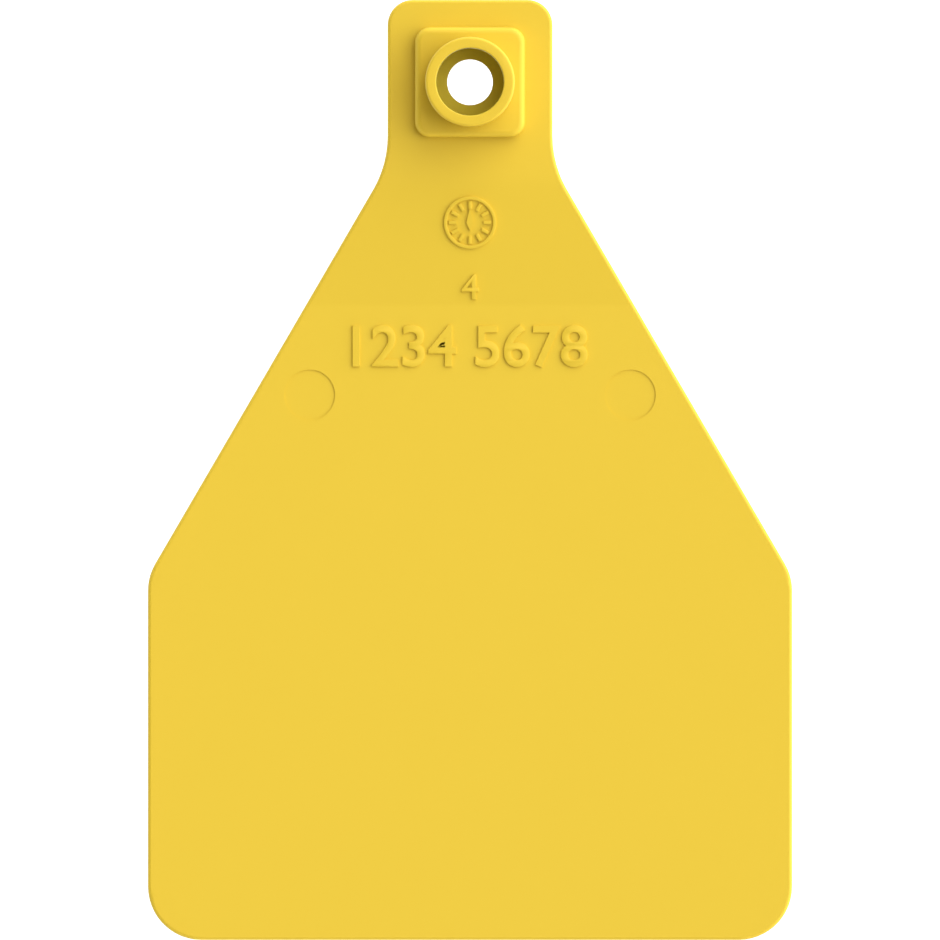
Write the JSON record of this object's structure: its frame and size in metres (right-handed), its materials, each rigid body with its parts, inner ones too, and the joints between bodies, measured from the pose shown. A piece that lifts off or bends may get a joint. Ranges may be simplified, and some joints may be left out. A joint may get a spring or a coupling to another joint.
{
  "type": "livestock ear tag",
  "caption": "Flexible yellow livestock ear tag panel: wide flat panel, narrow neck, and a square boss with a round collar and stepped bore for the locking stud.",
  "frame": {"origin": "on the stud hole's axis, at the back face that lies against the ear", "axes": "+Z out of the front face through the collar, +Y towards the top of the neck, +X to the right seen from the front"},
  "size_m": [0.0762, 0.1113, 0.0098],
  "materials": {
    "tag_polyurethane": "satin moulded polyurethane"
  },
  "bodies": {
    "root": {"tag_panel": "tag_polyurethane"}
  },
  "joints": []
}
